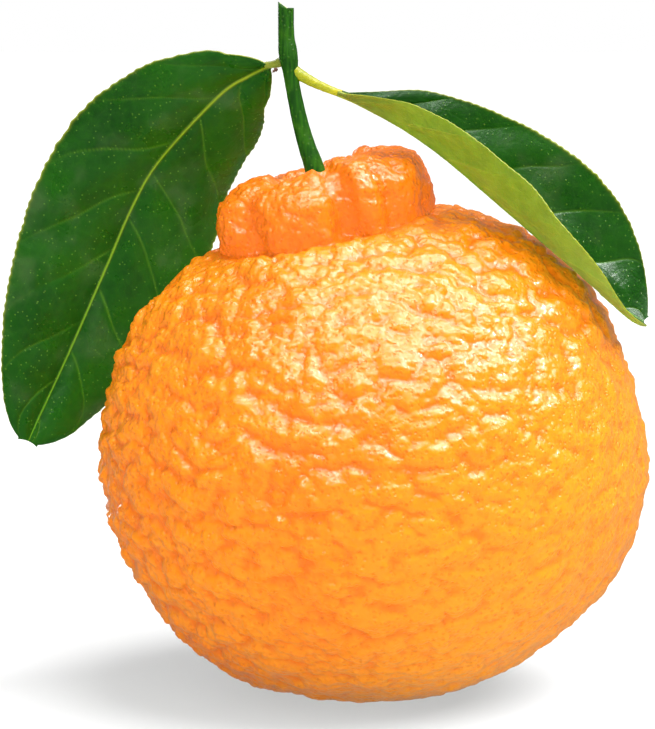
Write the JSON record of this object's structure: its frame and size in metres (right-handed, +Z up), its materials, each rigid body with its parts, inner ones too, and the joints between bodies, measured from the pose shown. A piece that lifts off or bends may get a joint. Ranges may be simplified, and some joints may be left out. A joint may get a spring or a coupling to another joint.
{
  "type": "mandarin",
  "caption": "Knobbly-necked mandarin as picked, with a cut green stem and leaves on short stalks; rests on its flattened base.",
  "frame": {"origin": "middle of the small flat spot that the fruit rests on", "axes": "+Z up from the resting spot towards the stem; -Y is the fruit's front and +X its right, the side that the neck leans away from"},
  "size_m": [0.1146, 0.0938, 0.1211],
  "materials": {
    "rind": "bumpy waxy citrus rind, glossy",
    "calyx_green": "dry matt",
    "green_bark": "smooth young bark, satin, pale at the cut",
    "bud_scale": "dry matt",
    "stalk_green": "smooth satin",
    "leaf": "waxy upper side, paler matt underside"
  },
  "bodies": {
    "root": {"fruit": "rind", "calyx": "calyx_green", "stem": "green_bark", "axil_bud": "bud_scale", "left_stalk": "stalk_green", "right_stalk": "stalk_green", "left_leaf": "leaf", "right_leaf": "leaf"}
  },
  "joints": []
}
